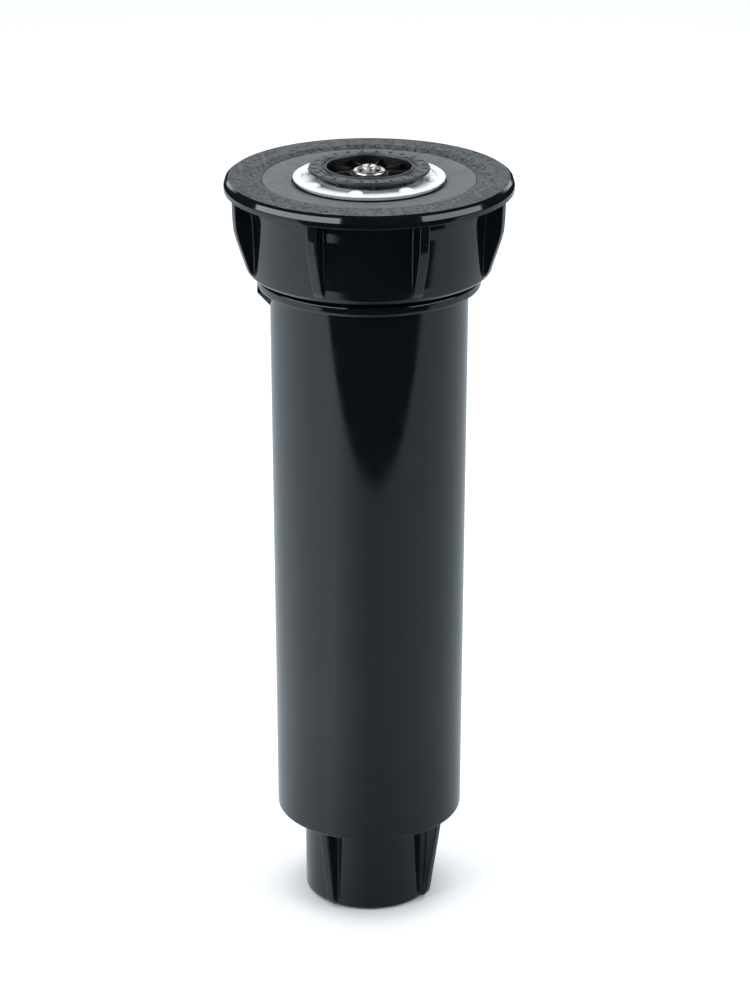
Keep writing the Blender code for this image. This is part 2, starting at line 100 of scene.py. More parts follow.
PLATE_TOP = GRADE - 2.1          # the cap's plate, which the seal grips above and below
PLATE_FOOT = GRADE - 3.8
CAP_PITCH = 4.0                 # thread between the cap and the neck
NOZZLE_PITCH = 1.6              # thread between the nozzle and the riser
INLET_PITCH = 25.4 / 14         # taper pipe thread, 14 to the inch
AIM_TEETH = 18                  # teeth between the riser and the guide ring


# ---------------------------------------------------------------- outlines

def round_corner(before, corner, after, radius, steps):
    to_before = (before - corner).normalized()
    to_after = (after - corner).normalized()
    half = to_before.angle(to_after) / 2
    centre = corner + (to_before + to_after).normalized() * (radius / math.sin(half))
    first = corner + to_before * (radius / math.tan(half)) - centre
    last = corner + to_after * (radius / math.tan(half)) - centre
    sweep = first.angle(last)
    points = []
    for step in range(steps + 1):
        share = step / steps
        near = math.sin((1 - share) * sweep) / math.sin(sweep)
        far = math.sin(share * sweep) / math.sin(sweep)
        points.append(centre + first * near + last * far)
    return points


def rounded(outline, steps=6):
    points = []
    for index, (radius, height, *corner) in enumerate(outline):
        here = Vector((radius, height))
        if corner:
            before = Vector(outline[index - 1][:2])
            after = Vector(outline[(index + 1) % len(outline)][:2])
            points += round_corner(before, here, after, corner[0], steps)
        else:
            points.append(here)
    return points


def divided(points, spacing):
    """Add points along the straight stretches; spacing(middle) is the longest step allowed there."""
    result = []
    for here, after in zip(points, points[1:] + points[:1]):
        length = (after - here).length
        parts = max(1, math.ceil(length / spacing((here + after) / 2)))
        result += [here.lerp(after, part / parts) for part in range(parts)]
    return result


def follow(track, height):
    """Radius of a (height, radius) track at a height, or 0 beyond its ends."""
    for (low, low_radius), (high, high_radius) in zip(track, track[1:]):
        if low <= height <= high:
            return low_radius + (high_radius - low_radius) * (height - low) / (high - low)
    return 0.0


# ---------------------------------------------------------------- angles and relief

def around(count, start=0.0):
    return [start + 360.0 * index / count for index in range(count)]


def away(angle, centres):
    """Signed angle in degrees from the nearest of some centres."""
    return min(((angle - centre + 180.0) % 360.0 - 180.0 for centre in centres), key=abs)


def crowded(count, centres, offsets, radius):
    """Even angles, with extra ones where relief of a set width needs crisp sides."""
    extra = sorted({side * offset for offset in offsets for side in (-1, 1)})
    reach = math.degrees(max(offsets) / radius)
    angles = [angle for angle in around(count) if abs(away(angle, centres)) > reach * 1.05]
    for centre in centres:
        angles += [(centre + math.degrees(offset / radius)) % 360.0 for offset in extra]
    return sorted(set(round(angle, 5) for angle in angles))


def rib_share(offset, half_width):
    """Share of a rib's height at a sideways offset: rounded crown, drafted flank, soft root."""
    side = abs(offset)
    crown = half_width - 0.4
    if side <= crown:
        return 1.0
    if side <= half_width - 0.1:
        turn = (side - crown) / 0.3
        return 1.0 - 0.1 * (1.0 - math.sqrt(max(0.0, 1.0 - turn * turn)))
    if side <= half_width + 0.12:
        return 0.9 - 3.6 * (side - half_width + 0.1)
    if side <= half_width + 0.42:
        return 0.108 * ((half_width + 0.42 - side) / 0.3) ** 2
    return 0.0


RIB_OFFSETS = (-0.05, 0.0, 0.12, 0.2, 0.26, 0.29, 0.3, 0.36, 0.44, 0.52, 0.6, 0.68, 0.76, 0.84)


def rib_offsets(half_width):
    """Sideways offsets where a rib's section bends."""
    return [0.0] + [half_width - 0.4 + offset for offset in RIB_OFFSETS]


def edge_share(inside, width):
    """Quarter-round rise from an edge: 0 at the edge, 1 from the given width inwards."""
    share = min(max(inside / width, 0.0), 1.0)
    return math.sqrt(1.0 - (1.0 - share) ** 2)


def thread_height(angle, height, start, pitch, turns, depth, base_half, crest_half):
    """Height of a right-hand thread's ridge above its root."""
    climbed = (height - start) / pitch
    phase = climbed - angle / 360.0
    gap = pitch * abs((phase + 0.5) % 1.0 - 0.5)
    rise = min(max((base_half - gap) / (base_half - crest_half), 0.0), 1.0)
    run_in = min(max(2.0 * (climbed + 0.25), 0.0), 1.0)
    run_out = min(max(2.0 * (turns + 0.25 - climbed), 0.0), 1.0)
    return depth * rise * run_in * run_out


# ---------------------------------------------------------------- mesh makers

def new_piece(name, verts, faces, sharp=35.0):
    """A smooth-shaded object from points in millimetres, with crisp edges above an angle."""
    mesh = bpy.data.meshes.new(name)
    mesh.from_pydata([(x * MM, y * MM, z * MM) for x, y, z in verts], [], faces)
    builder = bmesh.new()
    builder.from_mesh(mesh)
    bmesh.ops.remove_doubles(builder, verts=builder.verts, dist=1e-8)
    bmesh.ops.recalc_face_normals(builder, faces=builder.faces)
    builder.to_mesh(mesh)
    builder.free()
    mesh.shade_smooth()
    mesh.set_sharp_from_angle(angle=math.radians(sharp))
    piece = bpy.data.objects.new(name, mesh)
    bpy.context.scene.collection.objects.link(piece)
    return piece


def lathe(name, points, angles, shape=None, sharp=35.0):
    """Turn an outline about +Z.  shape(angle, radius, height) may move each point."""
    on_axis = points[0].x == 0.0
    verts = []
    for angle in angles:
        turn = math.radians(angle)
        sine, cosine = math.sin(turn), math.cos(turn)
        for point in points:
            radius, height = point.x, point.y
            if shape:
                radius, height = shape(angle, radius, height)
            verts.append((radius * sine, -radius * cosine, height))
    count = len(points)
    spans = count - 1 if on_axis else count
    faces = []
    for index in range(len(angles)):
        here = index * count
        there = (index + 1) % len(angles) * count
        for step in range(spans):
            after = (step + 1) % count
            faces.append((here + step, there + step, there + after, here + after))
    return new_piece(name, verts, faces, sharp)


def helix(name, coil_r, wire_r, height_at, turns, per_turn, sides):
    """Round wire wound about +Z; height_at(turns so far) is the wire's height."""
    verts = []
    steps = turns * per_turn
    for step in range(steps + 1):
        turned_by = step / per_turn
        turn = math.tau * turned_by
        outward = Vector((math.sin(turn), -math.cos(turn), 0.0))
        for side in range(sides):
            around_wire = math.tau * side / sides
            place = outward * (coil_r + wire_r * math.cos(around_wire))
            verts.append((place.x, place.y, height_at(turned_by) + wire_r * math.sin(around_wire)))
    faces = []
    for step in range(steps):
        for side in range(sides):
            after = (side + 1) % sides
            here = step * sides
            faces.append((here + side, here + after, here + sides + after, here + sides + side))
    faces.append(tuple(range(sides))[::-1])
    faces.append(tuple(steps * sides + side for side in range(sides)))
    return new_piece(name, verts, faces, 60.0)


def cut_slot(piece, length, width, low, high, angle):
    """Cut one straight slot through the middle of a piece."""
    turn = math.radians(angle)
    along = Vector((math.sin(turn), -math.cos(turn), 0.0)) * length / 2
    across = Vector((math.cos(turn), math.sin(turn), 0.0)) * width / 2
    corners = [-along - across, along - across, along + across, -along + across]
    verts = [corner + Vector((0, 0, height)) for height in (low, high) for corner in corners]
    faces = [(3, 2, 1, 0), (4, 5, 6, 7)] + [(s, (s + 1) % 4, (s + 1) % 4 + 4, s + 4) for s in range(4)]
    cutter = new_piece("slot_cutter", verts, faces)
    modifier = piece.modifiers.new("slot", "BOOLEAN")
    modifier.operation = "DIFFERENCE"
    modifier.object = cutter
    graph = bpy.context.evaluated_depsgraph_get()
    mesh = bpy.data.meshes.new_from_object(piece.evaluated_get(graph))
    piece.modifiers.clear()
    piece.data = mesh
    bpy.data.objects.remove(cutter, do_unlink=True)


def dress(piece, body, node, slot, *materials):
    """Ride a finished piece on its body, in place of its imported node."""
    piece.data.materials.clear()
    for material in materials:
        piece.data.materials.append(material)
    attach(piece, body)
    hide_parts(node)
    return piece


# ---------------------------------------------------------------- materials

class Graph:
    """A material's node tree with short calls for the nodes used here."""

    def __init__(self, name, roughness, metallic=0.0):
        self.material = bpy.data.materials.new(name)
        self.material.use_nodes = True
        self.nodes = self.material.node_tree.nodes
        self.links = self.material.node_tree.links
        self.shader = self.nodes["Principled BSDF"]
        self.shader.inputs["Roughness"].default_value = roughness
        self.shader.inputs["Metallic"].default_value = metallic
        self.place = self.nodes.new("ShaderNodeTexCoord").outputs["Object"]

    def link(self, source, target):
        self.links.new(source, target)

    def noise(self, grain, detail=2.0, rough=0.5, stretch=None):
        """Noise whose grain is a length in millimetres."""
        node = self.nodes.new("ShaderNodeTexNoise")
        node.inputs["Scale"].default_value = 1.0 / (grain * MM)
        node.inputs["Detail"].default_value = detail
        node.inputs["Roughness"].default_value = rough
        self.link(self.stretched(stretch) if stretch else self.place, node.inputs["Vector"])
        return node.outputs["Fac"]

    def stretched(self, scale):
        node = self.nodes.new("ShaderNodeMapping")
        node.inputs["Scale"].default_value = scale
        self.link(self.place, node.inputs["Vector"])
        return node.outputs["Vector"]

    def ramp(self, source, low, high, start=0.3, end=0.7):
        """Map a value between start and end to low and high."""
        node = self.nodes.new("ShaderNodeMapRange")
        node.inputs["From Min"].default_value = start
        node.inputs["From Max"].default_value = end
        node.inputs["To Min"].default_value = low
        node.inputs["To Max"].default_value = high
        self.link(source, node.inputs["Value"])
        return node.outputs["Result"]

    def mix(self, factor, first, second):
        node = self.nodes.new("ShaderNodeMix")
        node.data_type = "RGBA"
        self.link(factor, node.inputs["Factor"])
        for value, socket in ((first, node.inputs[6]), (second, node.inputs[7])):
            if isinstance(value, tuple):
                socket.default_value = (*value, 1.0)
            else:
                self.link(value, socket)
        return node.outputs[2]

    def bump(self, height, depth, normal=None):
        """Bump whose full depth is a length in millimetres."""
        node = self.nodes.new("ShaderNodeBump")
        node.inputs["Strength"].default_value = 1.0
        node.inputs["Distance"].default_value = depth * MM
        self.link(height, node.inputs["Height"])
        if normal:
            self.link(normal, node.inputs["Normal"])
        return node.outputs["Normal"]

    def finish(self, colour, roughness=None, normal=None):
        self.link(colour, self.shader.inputs["Base Color"])
        if roughness:
            self.link(roughness, self.shader.inputs["Roughness"])
        if normal:
            self.link(normal, self.shader.inputs["Normal"])
        return self.material


def shades(colour, spread):
    dark = tuple(channel * (1.0 - spread) for channel in colour)
    light = tuple(channel * (1.0 + spread) for channel in colour)
    return dark, light


def gloss_plastic(name, colour, roughness):
    """Moulded plastic: slow colour drift, cloudy gloss, fine pitting and faint draw lines."""
    graph = Graph(name, roughness)
    tone = graph.mix(graph.ramp(graph.noise(9.0, 3.0), 0.0, 1.0), *shades(colour, 0.18))
    cloudy = graph.ramp(graph.noise(4.0, 4.0, 0.6), roughness - 0.03, roughness + 0.04)
    fine = graph.bump(graph.noise(0.22, 2.0), 0.0010)
    slow = graph.bump(graph.noise(6.0, 1.0, 0.5, (1.0, 1.0, 0.25)), 0.008, fine)
    return graph.finish(tone, cloudy, slow)


def stippled_plastic(name, colour):
    """Spark-eroded grain on the cap's top: pebbles with a finer tooth between them."""
    graph = Graph(name, 0.5)
    pebbles = graph.noise(0.5, 2.0, 0.55)
    patches = graph.noise(0.8, 2.0, 0.6)
    tone = graph.mix(graph.ramp(patches, 0.0, 1.0, 0.4, 0.6), *shades(colour, 0.6))
    rough = graph.ramp(graph.noise(0.3, 2.0), 0.42, 0.62)
    tooth = graph.bump(graph.noise(0.12, 1.0), 0.008)
    return graph.finish(tone, rough, graph.bump(pebbles, 0.12, tooth))


def matte_plastic(name, colour, roughness, grain_depth, specular=0.5):
    """Satin plastic with a light matt grain."""
    graph = Graph(name, roughness)
    graph.shader.inputs["Specular IOR Level"].default_value = specular
    tone = graph.mix(graph.ramp(graph.noise(5.0, 3.0), 0.0, 1.0), *shades(colour, 0.12))
    rough = graph.ramp(graph.noise(0.8, 3.0), roughness - 0.06, roughness + 0.08)
    return graph.finish(tone, rough, graph.bump(graph.noise(0.16, 2.0), grain_depth))


def white_plastic(name, colour):
    """White acetal: light comes a little way through it, and handling leaves it faintly soiled."""
    graph = Graph(name, 0.35)
    graph.shader.inputs["Subsurface Weight"].default_value = 0.25
    graph.shader.inputs["Subsurface Radius"].default_value = (1.0, 0.9, 0.8)
    graph.shader.inputs["Subsurface Scale"].default_value = 0.6 * MM
    soiled = tuple(channel * 0.88 for channel in colour)
    tone = graph.mix(graph.ramp(graph.noise(2.2, 4.0, 0.6), 0.0, 1.0, 0.45, 0.8), colour, soiled)
    rough = graph.ramp(graph.noise(1.0, 3.0), 0.3, 0.42)
    return graph.finish(tone, rough, graph.bump(graph.noise(0.3, 2.0), 0.004))


def rubber(name, colour):
    """Matt rubber with a powdery bloom."""
    graph = Graph(name, 0.62)
    bloom = tuple(channel * 1.35 for channel in colour)
    tone = graph.mix(graph.ramp(graph.noise(3.0, 5.0, 0.65), 0.0, 1.0), colour, bloom)
    rough = graph.ramp(graph.noise(0.9, 3.0), 0.55, 0.72)
    return graph.finish(tone, rough, graph.bump(graph.noise(0.2, 3.0, 0.6), 0.006))


def turned_steel(name, colour):
    """Stainless steel with concentric turning marks and small scratches."""
    graph = Graph(name, 0.3, 1.0)
    rings = graph.nodes.new("ShaderNodeTexWave")
    rings.wave_type = "RINGS"
    rings.rings_direction = "Z"
    rings.inputs["Scale"].default_value = 1200.0
    rings.inputs["Distortion"].default_value = 1.5
    graph.link(graph.place, rings.inputs["Vector"])
    tone = graph.mix(graph.noise(0.6, 3.0), *shades(colour, 0.1))
    rough = graph.ramp(graph.noise(0.25, 3.0), 0.26, 0.4)
    return graph.finish(tone, rough, graph.bump(rings.outputs["Fac"], 0.0006))


BLACK = gloss_plastic("moulded_black", (0.0022, 0.0034, 0.0050), 0.07)
RISER_BLACK = gloss_plastic("polished_black", (0.0022, 0.0032, 0.0045), 0.09)
STIPPLE = stippled_plastic("stippled_black", (0.033, 0.041, 0.046))
SEAL_GREY = rubber("seal_grey", (0.070, 0.078, 0.084))
NOZZLE_GREY = matte_plastic("nozzle_grey", (0.013, 0.017, 0.025), 0.42, 0.004)
# near-black, dull finish for the deflector's dished middle: painted shade
NOZZLE_DISH_SHADE = matte_plastic("nozzle_dish_painted_shade", (0.0012, 0.0014, 0.002), 0.5, 0.002, 0.15)
WHITE = white_plastic("collar_white", (0.60, 0.625, 0.62))
SCREEN_BLUE = matte_plastic("screen_blue", (0.08, 0.14, 0.30), 0.5, 0.003)
STEEL = turned_steel("turned_steel", (0.66, 0.66, 0.65))
RING_BLACK = rubber("ring_black", (0.012, 0.012, 0.012))


# ---------------------------------------------------------------- pieces

def body_case():
    """Tube with its collar and lug, the ribbed inlet boss, and both threads."""
    boss_r = COLLAR_R - 8.8
    boss_top = CASE_FOOT + 19.2
    foot_r = COLLAR_R - 3.05
    tube_r = COLLAR_R - 2.5
    collar_low = NECK_TOP - 15.6
    collar_top = NECK_TOP - 13.7
    neck_r = COLLAR_R - 2.6
    bore_r = COLLAR_R - 4.8
    floor = CASE_FOOT + 22.5
    socket_top = CASE_FOOT + 15.0
    mouth_r = boss_r - 2.65
    socket_r = boss_r - 3.12
    outline = [
        (mouth_r + 0.55, CASE_FOOT), (boss_r, CASE_FOOT, 0.8), (boss_r, boss_top, 0.4),
        (foot_r, boss_top, 0.7), (tube_r - 0.03, collar_low - 6.0), (tube_r, collar_low, 0.35),
        (COLLAR_R - 0.2, collar_low, 0.2), (COLLAR_R, collar_low + 0.5, 0.4),
        (COLLAR_R, collar_top, 0.3), (neck_r, collar_top, 0.3), (neck_r, NECK_TOP, 0.4),
        (bore_r, NECK_TOP, 0.3), (bore_r, collar_low), (foot_r - 2.25, floor, 0.8), (7.5, floor, 0.4),
        (7.5, socket_top, 0.4), (socket_r, socket_top, 0.3), (mouth_r, CASE_FOOT + 0.8),
    ]
    slope = (socket_r - mouth_r) / (socket_top - CASE_FOOT)

    def spacing(middle):
        if middle.x < boss_r and middle.y < socket_top:
            return 0.15
        if middle.y < boss_top + 0.5 and middle.x > boss_r - 0.5:
            return 0.6
        if collar_low - 6.0 < middle.y and middle.x > neck_r - 0.5:
            return 0.25
        return 200.0

    inlet_ribs = around(4, -33.0)
    lug = [-90.0]
    inlet_track = [(0.55, boss_r), (0.62, boss_r + 0.6), (0.8, boss_r + 0.9), (1.1, boss_r + 1.15),
                   (1.5, boss_r + 1.35), (2.0, boss_r + 1.5), (boss_top + 0.3, boss_r + 4.25)]
    lug_track = [(collar_low - 4.6, tube_r), (collar_low - 1.9, COLLAR_R), (collar_low + 0.3, COLLAR_R)]

    def shape(angle, radius, height):
        if radius > boss_r - 0.9 and height < boss_top + 0.2:
            crown = follow(inlet_track, height)
            offset = math.radians(away(angle, inlet_ribs)) * (boss_r + 3.5)
            if crown > radius:
                radius += (crown - radius) * rib_share(offset, 1.0)
        elif radius > tube_r - 0.6 and collar_low - 6.0 < height < collar_low + 0.3:
            crown = follow(lug_track, height)
            offset = math.radians(away(angle, lug)) * COLLAR_R
            if crown > radius:
                radius += (crown - radius) * rib_share(offset, 1.0)
        elif radius < mouth_r + 0.1 and height < socket_top - 0.4 and radius > 8.0:
            radius -= thread_height(angle, height, CASE_FOOT + 1.6, INLET_PITCH, 6.75, 1.15, 0.72, 0.12)
        elif abs(radius - neck_r) < 0.02 and height > collar_top + 0.6:
            radius += thread_height(angle, height, NECK_TOP - 10.8, CAP_PITCH, 2.25, 1.1, 0.8, 0.3)
        return radius, height

    offsets = rib_offsets(1.0)
    centres = inlet_ribs + lug
    angles = crowded(MEDIUM, centres, offsets, boss_r + 3.5)
    case = lathe("case_shell", divided(rounded(outline), spacing), angles, shape)
    return dress(case, "case", "body_case", "case_plastic", BLACK)


def cap():
    """Cap with its stippled top, glossy rim, grip ribs and inside thread."""
    grain_depth = 0.10
    skirt_r = CAP_R - 4.0
    skirt_top_r = CAP_R - 3.4
    bore_r = CAP_R - 7.4
    recess_r = CAP_R - 7.45
    hole_r = CAP_R - 13.8
    grain_r = CAP_R - 0.9
    rim_low = GRADE - 2.15
    outline = [
        (bore_r, CAP_FOOT, 0.4), (skirt_r - 0.8, CAP_FOOT, 0.15), (skirt_r - 0.18, CAP_FOOT + 0.6, 0.5),
        (skirt_r, CAP_FOOT + 2.6, 2.0), (skirt_top_r - 0.2, GRADE - 6.0, 4.0),
        (skirt_top_r, GRADE - 4.1, 0.8), (skirt_top_r, rim_low, 0.4), (CAP_R - 0.25, rim_low, 0.1),
        (CAP_R, rim_low + 0.2, 0.15), (CAP_R, GRADE - 0.95, 0.8), (CAP_R - 0.32, GRADE + 0.08, 0.25),
        (grain_r, CAP_TOP, 0.2), (recess_r + 1.5, CAP_TOP, 2.0), (recess_r, GRADE, 0.06),
        (recess_r, PLATE_TOP), (hole_r, PLATE_TOP, 0.2), (hole_r, PLATE_FOOT, 0.2),
        (bore_r, PLATE_FOOT, 0.6),
    ]

    def spacing(middle):
        if middle.y > GRADE - 0.05 and recess_r < middle.x < grain_r:
            return 0.25
        if middle.x > skirt_r - 0.8 and middle.y < rim_low - 0.05:
            return 0.45
        if middle.x < bore_r + 0.1 and middle.y < PLATE_FOOT - 0.6:
            return 0.35
        return 50.0

    points = divided(rounded(outline, 8), spacing)
    ribs = around(8, -23.0)
    track = [(CAP_FOOT + 1.2, skirt_r), (CAP_FOOT + 1.6, skirt_r + 0.55), (CAP_FOOT + 2.2, skirt_r + 0.9),
             (CAP_FOOT + 8.6, skirt_r + 3.05), (CAP_FOOT + 10.6, skirt_r + 3.55),
             (CAP_FOOT + 13.0, skirt_r + 3.75), (rim_low + 0.02, skirt_r + 3.85)]

    def shape(angle, radius, height):
        if height > GRADE - 1e-4 and recess_r + 0.2 < radius < grain_r - 0.1:
            turn = math.radians(angle)
            place = Vector((radius * math.sin(turn), radius * math.cos(turn), 0.0))
            pebble = noise.noise(place * 1.7) + 0.8 * noise.noise(place * 3.6)
            height += grain_depth * pebble
        elif radius > skirt_r - 0.2 and height < rim_low - 0.01:
            edge = follow(track, height)
            if edge > radius:
                offset = math.radians(away(angle, ribs)) * (CAP_R - 2.0)
                radius += (edge - radius) * rib_share(offset, 1.05)
        elif radius < bore_r + 0.05 and height < PLATE_FOOT - 0.7:
            radius -= thread_height(angle, height, CAP_FOOT + 3.7, CAP_PITCH, 2.0, 1.1, 0.8, 0.3)
        return radius, height

    shell = lathe("cap_shell", points, crowded(FINE, ribs, rib_offsets(1.05), CAP_R - 2.0), shape)
    dress(shell, "cap", "cap", "cap_plastic", BLACK, STIPPLE)
    limit = (GRADE - 0.2) * MM
    for face in shell.data.polygons:
        centre = face.center
        if centre.z > limit and recess_r * MM < math.hypot(centre.x, centre.y) < (grain_r + 0.02) * MM:
            face.material_index = 1
    return shell


def wiper_seal():
    """Rubber seal: its top slopes gently to the nozzle, its lips wipe the riser."""
    outer = SEAL_R + 0.22
    lip_r = BASE_R - 4.85
    outline = [
        (lip_r, SEAL_FOOT, 0.06), (lip_r + 0.65, SEAL_FOOT), (lip_r + 2.65, SEAL_FOOT + 2.4, 0.3),
        (lip_r + 2.65, SEAL_FOOT + 2.9), (SEAL_R - 1.45, SEAL_FOOT + 2.9), (SEAL_R - 1.45, PLATE_FOOT - 0.3),
        (CAP_R - 14.1, PLATE_FOOT - 0.3), (CAP_R - 14.1, PLATE_TOP + 0.3), (outer, PLATE_TOP + 0.3),
        (outer, GRADE, 0.08), (RING_R + 0.15, GRADE - 0.55, 0.12), (RING_R + 0.1, GRADE - 1.2),
        (RING_R - 1.7, GRADE - 1.4, 0.2), (RING_R - 1.8, SEAL_FOOT + 4.2), (lip_r + 1.45, SEAL_FOOT + 3.6),
        (lip_r, SEAL_FOOT + 4.3, 0.1), (lip_r, SEAL_FOOT + 3.9), (lip_r + 1.25, SEAL_FOOT + 3.0),
        (lip_r + 1.25, SEAL_FOOT + 2.0, 0.3), (lip_r, SEAL_FOOT + 0.3),
    ]
    seal = lathe("seal_ring", rounded(outline, 4), around(MEDIUM))
    return dress(seal, "seal_pack", "wiper_seal", "seal_rubber", SEAL_GREY)


def arc_collar():
    """White ring: an undercut outer band and eight half-round thumb lugs over a sunken floor."""
    band_r = RING_R - 1.8
    inner_r = RING_R - 4.6
    floor = RING_FOOT + 0.6
    top = RING_FOOT + 0.87
    lug_top = RING_FOOT + 1.3
    lug_half = 1.5
    outline = [
        (inner_r, RING_FOOT), (RING_R - 0.6, RING_FOOT), (RING_R - 0.5, top - 0.35),
        (RING_R - 0.1, top - 0.35, 0.1), (RING_R, top - 0.05, 0.15), (RING_R - 0.45, top, 0.15),
        (band_r, top, 0.1),
        (band_r, floor, 0.1), (inner_r, floor, 0.1),
    ]
    lugs = around(8, -11.3)

    def spacing(middle):
        return 0.12 if middle.y > floor - 0.05 and middle.x < band_r + 0.9 else 1.0

    def shape(angle, radius, height):
        if height < floor - 0.12 or radius > band_r + 0.6:
            return radius, height
        turn = math.radians(away(angle, lugs))
        out = radius * math.cos(turn)
        side = radius * math.sin(turn)
        middle = band_r - 0.4
        inside = lug_half - (math.hypot(side, out - middle) if out < middle else abs(side))
        share = edge_share(inside, 0.9) * min(max((band_r + 0.6 - out) / 0.5, 0.0), 1.0)
        return radius, height + (lug_top - height) * share

    ring = lathe("arc_ring", divided(rounded(outline, 4), spacing), around(FINE), shape)
    return dress(ring, "collar", "arc_collar", "collar_plastic", WHITE)


def valve_sleeve():
    """Sleeve whose top climbs in one helix to a step."""
    inner = SLEEVE_R - 0.8
    least = SLEEVE_TOP - 0.1
    rise = SLEEVE_TOP - least
    outline = [(inner, SLEEVE_FOOT), (SLEEVE_R, SLEEVE_FOOT), (SLEEVE_R, SLEEVE_TOP), (inner, SLEEVE_TOP)]

    def shape(angle, radius, height):
        if height > least:
            height = least + rise * min(angle / 350.0, 1.0)
        return radius, height

    sleeve = lathe("valve_sleeve_ring", rounded(outline), around(MEDIUM), shape)
    return dress(sleeve, "collar", "valve_sleeve", "collar_plastic", WHITE)


def deflector():
    """Disc with arc marks on top, a dished middle of hub and spokes, and vanes under the edge."""
    cup_r = DISC_R - 2.8
    dish_r = DISC_R - 3.6
    top = DISC_TOP - 0.15
    low = top - 0.6
    dish = top - 1.8
    cup_low = top - 2.6
    hub_r = 4.0
    hub_top = top - 1.15
    seat = top - 1.3
    bore = 1.35
    outline = [
        (bore, STEM_FOOT), (3.4, STEM_FOOT, 0.2), (3.4, cup_low), (cup_r, cup_low, 0.2), (cup_r, low, 0.15),
        (DISC_R, low, 0.12), (DISC_R, top, 0.22), (dish_r + 1.1, top, 0.05), (dish_r + 1.0, top - 0.25, 0.1),
        (dish_r + 0.65, top - 0.2, 0.1), (dish_r + 0.45, DISC_TOP, 0.12), (dish_r + 0.1, DISC_TOP, 0.12),
        (dish_r, top - 0.1, 0.1), (dish_r - 0.1, dish, 0.25), (hub_r + 0.05, dish, 0.2),
        (hub_r, hub_top, 0.15), (hub_r - 0.6, hub_top, 0.05), (hub_r - 0.6, seat), (bore, seat),
        (bore, top - 2.0), (2.1, top - 2.0), (2.1, top - 3.3), (bore, top - 3.3),
    ]
    spokes = around(9, 4.5)
    ticks = around(24, 7.5)
    arcs = (60.0, 122.0, 180.0, 238.0, 300.0)
    arc_swing = 14.0
    mark_depth = 0.15

    def spacing(middle):
        if middle.y > top - 0.02 and middle.x > dish_r + 1.12:
            return 0.12
        if abs(middle.y - dish) < 0.02 or abs(middle.y - low) < 0.02:
            return 0.15
        return 2.0

    def shape(angle, radius, height):
        if height > top - 0.001 and dish_r + 1.15 < radius < DISC_R - 0.2:
            offset = math.radians(away(angle, ticks)) * radius
            inside = min(0.26 - abs(offset), radius - DISC_R + 1.6, DISC_R - 0.45 - radius)
            swing = math.radians(arc_swing - abs(away(angle, arcs))) * radius
            inside = max(inside, min(0.2 - abs(radius - DISC_R + 2.05), swing))
            height -= mark_depth * edge_share(inside, 0.12)
        elif abs(height - dish) < 0.3 and hub_r + 0.1 < radius < dish_r - 0.15:
            offset = math.radians(away(angle, spokes)) * radius
            height += (top - 0.75 - height) * rib_share(offset * 1.4, 0.5)
        elif abs(height - low) < 0.03 and cup_r + 0.1 < radius < cup_r + 1.75:
            offset = math.radians(away(angle, spokes)) * radius
            fade = min(max((cup_r + 1.75 - radius) / 0.2, 0.0), 1.0)
            height -= 1.1 * rib_share(offset * 1.4, 0.56) * fade
        return radius, height

    body = lathe("deflector_disc", divided(rounded(outline, 4), spacing), around(FINE), shape)
    dress(body, "riser", "deflector", "nozzle_plastic", NOZZLE_GREY, NOZZLE_DISH_SHADE)
    # faces sunk in the dished middle take the near-black second finish: painted shade in the recess
    for face in body.data.polygons:
        centre = face.center
        if STEM_FOOT * MM < centre.z < (top - 0.12) * MM and math.hypot(centre.x, centre.y) < dish_r * MM:
            face.material_index = 1
    return body


def nozzle_base():
    """Nozzle body: fluted skirt, flaring flange and ported web."""
    bore = BASE_R - 6.3
    skirt_r = BASE_R - 5.1
    web = BASE_TOP - 0.9
    outline = [
        (bore, SKIRT_FOOT, 0.15), (skirt_r, SKIRT_FOOT, 0.3), (skirt_r, BASE_TOP - 1.9),
        (BASE_R - 1.8, BASE_TOP - 0.4), (BASE_R, BASE_TOP - 0.35, 0.12), (BASE_R, BASE_TOP, 0.12),
        (3.7, BASE_TOP, 0.1), (3.7, web), (bore, web, 0.3),
    ]
    flutes = around(24, 7.5)

    def spacing(middle):
        return 0.5 if abs(middle.x - skirt_r) < 0.05 else 5.0

    def shape(angle, radius, height):
        if abs(radius - skirt_r) < 0.01 and SKIRT_FOOT + 1.2 < height < SKIRT_FOOT + 7.6:
            offset = math.radians(away(angle, flutes)) * radius
            ends = min(height - SKIRT_FOOT - 1.2, SKIRT_FOOT + 7.6 - height)
            radius -= 0.3 * edge_share(0.5 - abs(offset), 0.35) * edge_share(ends, 0.6)
        return radius, height

    base = lathe("nozzle_body", divided(rounded(outline, 4), spacing), around(FINE), shape)
    return dress(base, "riser", "nozzle_base", "nozzle_plastic", NOZZLE_GREY)


def saw(angle, teeth):
    """Sawtooth from 0 to 1, with a steep but printable back."""
    share = angle / 360.0 * teeth % 1.0
    return share / 0.92 if share < 0.92 else (1.0 - share) / 0.08


